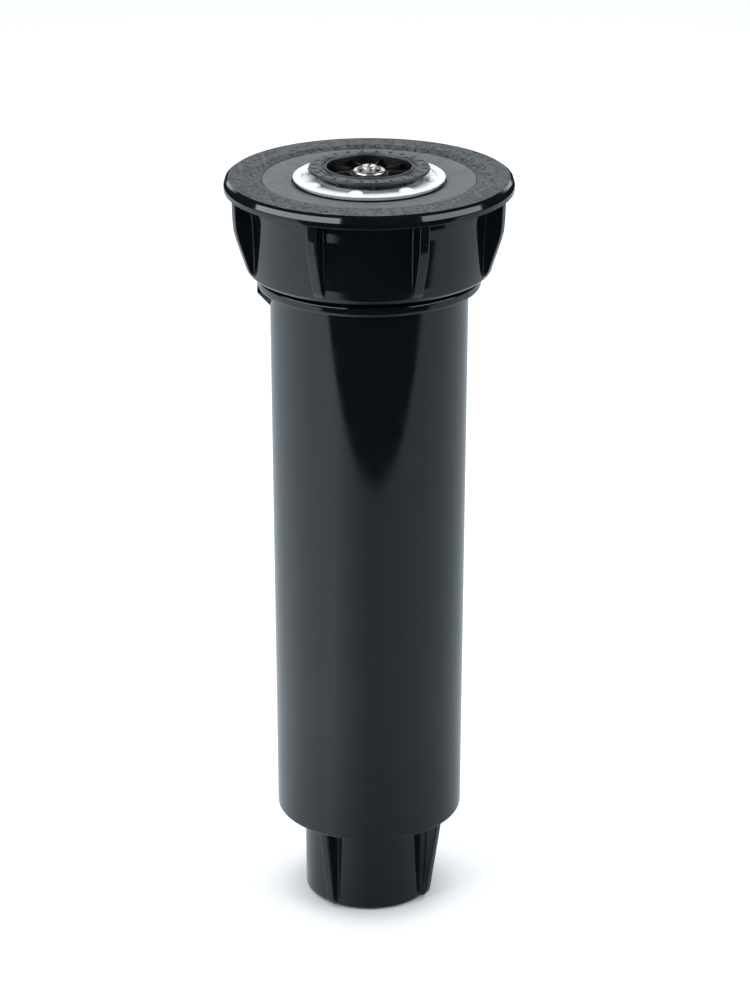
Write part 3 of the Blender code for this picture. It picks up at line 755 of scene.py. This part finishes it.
def riser_stem():
    """Polished riser tube with its toothed foot flange and threaded neck."""
    bore = FLANGE_R - 7.8
    tube_r = FLANGE_R - 6.0
    neck_r = FLANGE_R - 8.3
    flange_top = RISER_FOOT + 2.4
    shoulder = RISER_TOP - 7.5
    outline = [
        (bore, RISER_FOOT, 0.3), (FLANGE_R, RISER_FOOT, 0.6), (FLANGE_R, flange_top, 0.3),
        (tube_r, flange_top, 0.4), (tube_r, shoulder, 0.3), (neck_r, shoulder), (neck_r, RISER_TOP, 0.25),
        (neck_r - 1.1, RISER_TOP, 0.2), (neck_r - 1.1, shoulder - 2.0), (bore, shoulder - 4.0),
    ]

    def spacing(middle):
        if abs(middle.y - flange_top) < 0.02:
            return 0.4
        if abs(middle.x - neck_r) < 0.02:
            return 0.15
        return 200.0

    def shape(angle, radius, height):
        if abs(height - flange_top) < 0.02 and tube_r + 1.9 < radius < FLANGE_R - 0.2:
            height += 0.75 * saw(angle, AIM_TEETH)
        elif abs(radius - neck_r) < 0.01 and shoulder + 0.5 < height < RISER_TOP - 0.6:
            radius += thread_height(angle, height, shoulder + 1.2, NOZZLE_PITCH, 3.25, 0.7, 0.5, 0.12)
        return radius, height

    stem = lathe("riser_tube", divided(rounded(outline, 5), spacing), around(MEDIUM), shape)
    return dress(stem, "riser", "riser_stem", "riser_plastic", RISER_BLACK)


def guide_ring():
    """Ring keyed to the splines, with teeth below and a collar for the spring."""
    bore = GUIDE_R - 6.65
    hub_r = GUIDE_R - 4.9
    floor = GUIDE_TOP - 8.8
    seat = GUIDE_TOP - 6.0
    outline = [
        (bore, floor, 0.2), (GUIDE_R, floor, 0.2), (GUIDE_R, seat, 0.2), (hub_r, seat, 0.3),
        (hub_r, GUIDE_TOP, 0.3), (bore, GUIDE_TOP, 0.2),
    ]
    notches = around(6)

    def spacing(middle):
        return 0.4 if abs(middle.y - floor) < 0.02 else 100.0

    def shape(angle, radius, height):
        inside = 1.05 - abs(math.radians(away(angle, notches)) * GUIDE_R)
        if inside > 0.0 and radius > GUIDE_R - 0.75:
            radius -= (radius - GUIDE_R + 0.75) * min(inside / 0.1, 1.0)
        elif abs(height - floor) < 0.02 and hub_r - 0.2 < radius < GUIDE_R - 1.2:
            height -= 0.75 * saw(angle, AIM_TEETH)
        return radius, height

    ring = lathe("guide_ring_keyed", divided(rounded(outline, 4), spacing), around(FINE), shape)
    return dress(ring, "guide", "guide_ring", "case_plastic", BLACK)


def seal_retainer():
    bore = HOLD_R - 7.05
    seat = COIL_TOP + 0.2
    outline = [
        (bore, HOLD_FOOT, 0.2), (HOLD_R - 5.1, HOLD_FOOT, 0.3), (HOLD_R - 5.1, seat, 0.3),
        (HOLD_R, seat, 0.3), (HOLD_R, HOLD_TOP, 0.3), (HOLD_R - 4.3, HOLD_TOP, 0.2),
        (HOLD_R - 4.3, HOLD_TOP - 3.0), (bore, HOLD_TOP - 3.0, 0.2),
    ]
    ring = lathe("retainer_ring", rounded(outline, 4), around(COARSE))
    return dress(ring, "seal_pack", "seal_retainer", "case_plastic", BLACK)


def retract_spring():
    """Spring with closed ends."""
    wire_r = 0.65
    active_turns = 9
    end_rise = 1.45
    low = COIL_FOOT + wire_r
    high = COIL_TOP - wire_r
    active_rise = (high - low - 2 * end_rise) / active_turns

    def height_at(turned_by):
        ends = min(turned_by, 1.0) + max(turned_by - 1.0 - active_turns, 0.0)
        middle = min(max(turned_by - 1.0, 0.0), active_turns)
        return low + ends * end_rise + middle * active_rise

    coil = helix("coil_spring", COIL_R - wire_r, wire_r, height_at, active_turns + 2, 48, 10)
    dress(coil, "seal_pack", "retract_spring", "stainless", STEEL)
    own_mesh(coil)
    return coil


def screw_parts():
    """Steel ferrule and the slotted screw inside it."""
    ferrule_outline = [
        (FERRULE_R - 0.95, FERRULE_FOOT), (FERRULE_R, FERRULE_FOOT), (FERRULE_R, FERRULE_TOP, 0.45),
        (FERRULE_R - 0.95, FERRULE_TOP, 0.45),
    ]
    ferrule = lathe("screw_collar", rounded(ferrule_outline), around(COARSE))
    dress(ferrule, "riser", "screw_ferrule", "stainless", STEEL)
    head_low = FERRULE_FOOT + 0.05
    screw_outline = [
        (0.0, SHANK_FOOT), (1.05, SHANK_FOOT, 0.2), (1.05, head_low), (HEAD_R, head_low),
        (HEAD_R, HEAD_TOP, 0.3), (0.0, HEAD_TOP),
    ]
    screw = lathe("throw_screw", rounded(screw_outline), around(COARSE))
    cut_slot(screw, 6.0, 0.5, HEAD_TOP - 0.85, HEAD_TOP + 1.0, -10.0)
    screw.data.set_sharp_from_angle(angle=math.radians(30.0))
    dress(screw, "screw", "radius_screw", "stainless", STEEL)


def carried_over():
    """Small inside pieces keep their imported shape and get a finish."""
    finishes = {
        "filter_screen": SCREEN_BLUE, "inlet_plate": NOZZLE_GREY, "throttle_nut": NOZZLE_GREY,
        "screw_clip": STEEL, "screw_o_ring": RING_BLACK,
    }
    for node, material in finishes.items():
        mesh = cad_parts[node].data
        mesh.materials.clear()
        mesh.materials.append(material)


# ---------------------------------------------------------------- studio

TABLE_EDGE = -1.54              # front edge of the painted table reflection, in object heights
TABLE_TURN = -7.0               # its slant in degrees
# Brightness of the painted table reflection by bearing from the front, in degrees: an emission that only
# glossy rays see.
TABLE_LEVELS = (
    (-180, 0.5), (-130, 0.8), (-85, 1.15), (-50, 1.18), (-30, 0.78), (0, 0.34), (30, 0.47),
    (55, 0.53), (90, 0.56), (130, 0.65), (180, 0.5),
)
TABLE_REACH = 0.62              # beyond this radius the painted table reflection is dark, in metres
TABLE_SOFT = 0.03               # half width of that fade
EDGE_SOFT = 0.008               # half width of the fade at the front edge
# tint of the painted table reflection
MIRROR_TINT = (0.86, 0.98, 1.06, 1.0)
DARK = 0.03                     # what glossy surfaces see where nothing is lit
WALL_GLOW = 1.9                 # the wall behind the object, seen in glossy surfaces only


def floor():
    """Pale floor.  Glossy plastic sees a painted reflection in it instead: an emission brightest at the
    left, and dark beyond an edge in front of the object, painted as a lit table would reflect."""
    builder = bmesh.new()
    bmesh.ops.create_circle(builder, cap_ends=True, segments=96, radius=4.0)
    mesh = bpy.data.meshes.new("studio_floor")
    builder.to_mesh(mesh)
    builder.free()
    plane = bpy.data.objects.new("studio_floor", mesh)
    plane.location.z = cad_low.z - 0.0002
    bpy.context.scene.collection.objects.link(plane)
    graph = Graph("pale_floor", 0.7)
    colour = graph.mix(graph.noise(60.0, 3.0), (0.84, 0.85, 0.86), (0.88, 0.885, 0.89))
    graph.link(colour, graph.shader.inputs["Base Color"])
    graph.shader.inputs["Specular IOR Level"].default_value = 0.2
    paths = graph.nodes.new("ShaderNodeLightPath")
    blend = graph.nodes.new("ShaderNodeMixShader")
    graph.link(paths.outputs["Is Glossy Ray"], blend.inputs["Fac"])
    graph.link(graph.shader.outputs["BSDF"], blend.inputs[1])
    graph.link(painted_table_reflection(graph), blend.inputs[2])
    graph.link(blend.outputs["Shader"], graph.nodes["Material Output"].inputs["Surface"])
    plane.data.materials.append(graph.material)


def math_node(graph, operation, first, second):
    node = graph.nodes.new("ShaderNodeMath")
    node.operation = operation
    for value, socket in ((first, node.inputs[0]), (second, node.inputs[1])):
        if isinstance(value, float):
            socket.default_value = value
        else:
            graph.link(value, socket)
    return node.outputs["Value"]


def painted_table_reflection(graph):
    """Painted reflection: emission for reflected rays, by direction from the object's axis and distance to
    the edge.
    """
    axes = graph.nodes.new("ShaderNodeSeparateXYZ")
    graph.link(graph.place, axes.inputs["Vector"])
    ahead = math_node(graph, "MULTIPLY", axes.outputs["Y"], -1.0)
    bearing = math_node(graph, "ARCTAN2", axes.outputs["X"], ahead)
    share = graph.ramp(bearing, 0.0, 1.0, -math.pi, math.pi)
    levels = graph.nodes.new("ShaderNodeValToRGB")
    levels.color_ramp.interpolation = "B_SPLINE"
    stops = levels.color_ramp.elements
    while len(stops) > 1:
        stops.remove(stops[-1])
    stops[0].position = 0.0
    first = TABLE_LEVELS[0][1]
    stops[0].color = (first, first, first, 1.0)
    for degrees, level in TABLE_LEVELS[1:]:
        stop = stops.new((degrees + 180.0) / 360.0)
        stop.color = (level, level, level, 1.0)
    graph.link(share, levels.inputs["Fac"])
    turned = graph.nodes.new("ShaderNodeMapping")
    turned.inputs["Rotation"].default_value = (0.0, 0.0, math.radians(TABLE_TURN))
    graph.link(graph.place, turned.inputs["Vector"])
    turned_axes = graph.nodes.new("ShaderNodeSeparateXYZ")
    graph.link(turned.outputs["Vector"], turned_axes.inputs["Vector"])
    edge = TABLE_EDGE * GRADE * MM
    near = graph.ramp(turned_axes.outputs["Y"], DARK, 1.0, edge - EDGE_SOFT, edge + EDGE_SOFT)
    glow = graph.nodes.new("ShaderNodeEmission")
    glow.inputs["Color"].default_value = MIRROR_TINT
    length = graph.nodes.new("ShaderNodeVectorMath")
    length.operation = "LENGTH"
    graph.link(graph.place, length.inputs[0])
    distance = length.outputs["Value"]
    reach = graph.ramp(distance, 1.25, DARK, TABLE_REACH - TABLE_SOFT, TABLE_REACH + TABLE_SOFT)
    # painted contact shade: the painted reflection is darker close to the object's foot
    foot = graph.ramp(distance, 0.62, 1.0, 0.015, 0.09)
    strength = math_node(graph, "MULTIPLY", levels.outputs["Color"], near)
    strength = math_node(graph, "MULTIPLY", strength, reach)
    graph.link(math_node(graph, "MULTIPLY", strength, foot), glow.inputs["Strength"])
    return glow.outputs["Emission"]


def backdrop():
    """Soft white surround to the eye; reflections see a dark room with a bright wall behind."""
    world = bpy.data.worlds.new("studio")
    bpy.context.scene.world = world
    world.use_nodes = True
    nodes, links = world.node_tree.nodes, world.node_tree.links

    def ramp(source, start, end, low, high):
        node = nodes.new("ShaderNodeMapRange")
        node.interpolation_type = "SMOOTHSTEP"
        for name, value in (("From Min", start), ("From Max", end), ("To Min", low), ("To Max", high)):
            node.inputs[name].default_value = value
        links.new(source, node.inputs["Value"])
        return node.outputs["Result"]

    def multiply(first, second):
        node = nodes.new("ShaderNodeMath")
        node.operation = "MULTIPLY"
        links.new(first, node.inputs[0])
        links.new(second, node.inputs[1])
        return node.outputs["Value"]

    def choose(flag, off, on):
        node = nodes.new("ShaderNodeMix")
        links.new(flag, node.inputs[0])
        for value, socket in ((off, node.inputs[2]), (on, node.inputs[3])):
            if isinstance(value, float):
                socket.default_value = value
            else:
                links.new(value, socket)
        return node.outputs[0]

    place = nodes.new("ShaderNodeTexCoord")
    axes = nodes.new("ShaderNodeSeparateXYZ")
    links.new(place.outputs["Generated"], axes.inputs["Vector"])
    above = ramp(axes.outputs["Z"], 0.1, 0.25, 0.0, 1.0)
    below = ramp(axes.outputs["Z"], 0.42, 0.52, 1.0, 0.0)
    behind = ramp(axes.outputs["Y"], 0.7, 0.88, 0.0, 1.0)
    wall = multiply(multiply(above, below), behind)
    mirrored = ramp(wall, 0.0, 1.0, DARK, WALL_GLOW)
    paths = nodes.new("ShaderNodeLightPath")
    room = choose(paths.outputs["Is Glossy Ray"], 0.8, mirrored)
    shown = choose(paths.outputs["Is Camera Ray"], room, 0.95)
    background = nodes["Background"]
    background.inputs["Color"].default_value = (0.97, 0.985, 1.0, 1.0)
    links.new(shown, background.inputs["Strength"])


PANEL_DISTANCE = 1.2
PANEL_HEIGHT = 0.9
PANEL_FOOT = 0.2


def softbox(name, place, target, width, height, power, mirrored):
    """A lamp that either lights the surfaces or is only seen in glossy ones."""
    light = bpy.data.lights.new(name, "AREA")
    light.shape = "RECTANGLE"
    light.size = width
    light.size_y = height
    light.energy = power
    light.color = (0.93, 0.98, 1.0)
    lamp = bpy.data.objects.new(name, light)
    lamp.location = place
    lamp.rotation_euler = (Vector(target) - Vector(place)).to_track_quat("-Z", "Y").to_euler()
    lamp.visible_glossy = mirrored
    lamp.visible_diffuse = not mirrored
    bpy.context.scene.collection.objects.link(lamp)


def panel(name, bearing, half_angle, radiance):
    """Upright panel facing the axis, seen only in glossy surfaces; bearings are from the front."""
    turn = math.radians(bearing)
    width = 2 * PANEL_DISTANCE * math.tan(math.radians(half_angle))
    height = PANEL_FOOT + PANEL_HEIGHT / 2
    place = (PANEL_DISTANCE * math.sin(turn), -PANEL_DISTANCE * math.cos(turn), height)
    power = radiance * math.pi * width * PANEL_HEIGHT
    softbox(name, place, (0.0, 0.0, height), width, PANEL_HEIGHT, power, True)


def lights():
    middle = (0.0, 0.0, 0.6 * GRADE * MM)
    softbox("left_softbox", (-0.75, -0.42, 0.34), middle, 0.75, 1.0, 5.2, False)
    softbox("right_softbox", (0.85, -0.35, 0.34), middle, 0.75, 1.0, 3.6, False)
    softbox("top_softbox", (0.0, 0.1, 1.0), middle, 1.0, 0.8, 9.0, False)
    panel("left_panel", -60.0, 37.5, 5.6)
    panel("right_panel", 69.0, 27.0, 4.0)


def camera():
    """Long lens, a little above the cap and looking down at it."""
    grade = GRADE * MM
    pitch = 21.8
    data = bpy.data.cameras.new("view")
    data.lens = 113.9
    data.sensor_width = 36.0
    data.shift_x = 0.0058
    viewer = bpy.data.objects.new("view", data)
    viewer.location = (0.0, -3.854 * grade, 2.104 * grade)
    viewer.rotation_euler = (math.radians(90.0 - pitch), 0.0, 0.0)
    bpy.context.scene.collection.objects.link(viewer)
    bpy.context.scene.camera = viewer


for make in (body_case, cap, wiper_seal, arc_collar, valve_sleeve, deflector, nozzle_base, riser_stem,
             guide_ring, seal_retainer, retract_spring, screw_parts, carried_over):
    make()
for make in (floor, backdrop, lights, camera):
    make()

bpy.context.scene.view_settings.view_transform = "Standard"
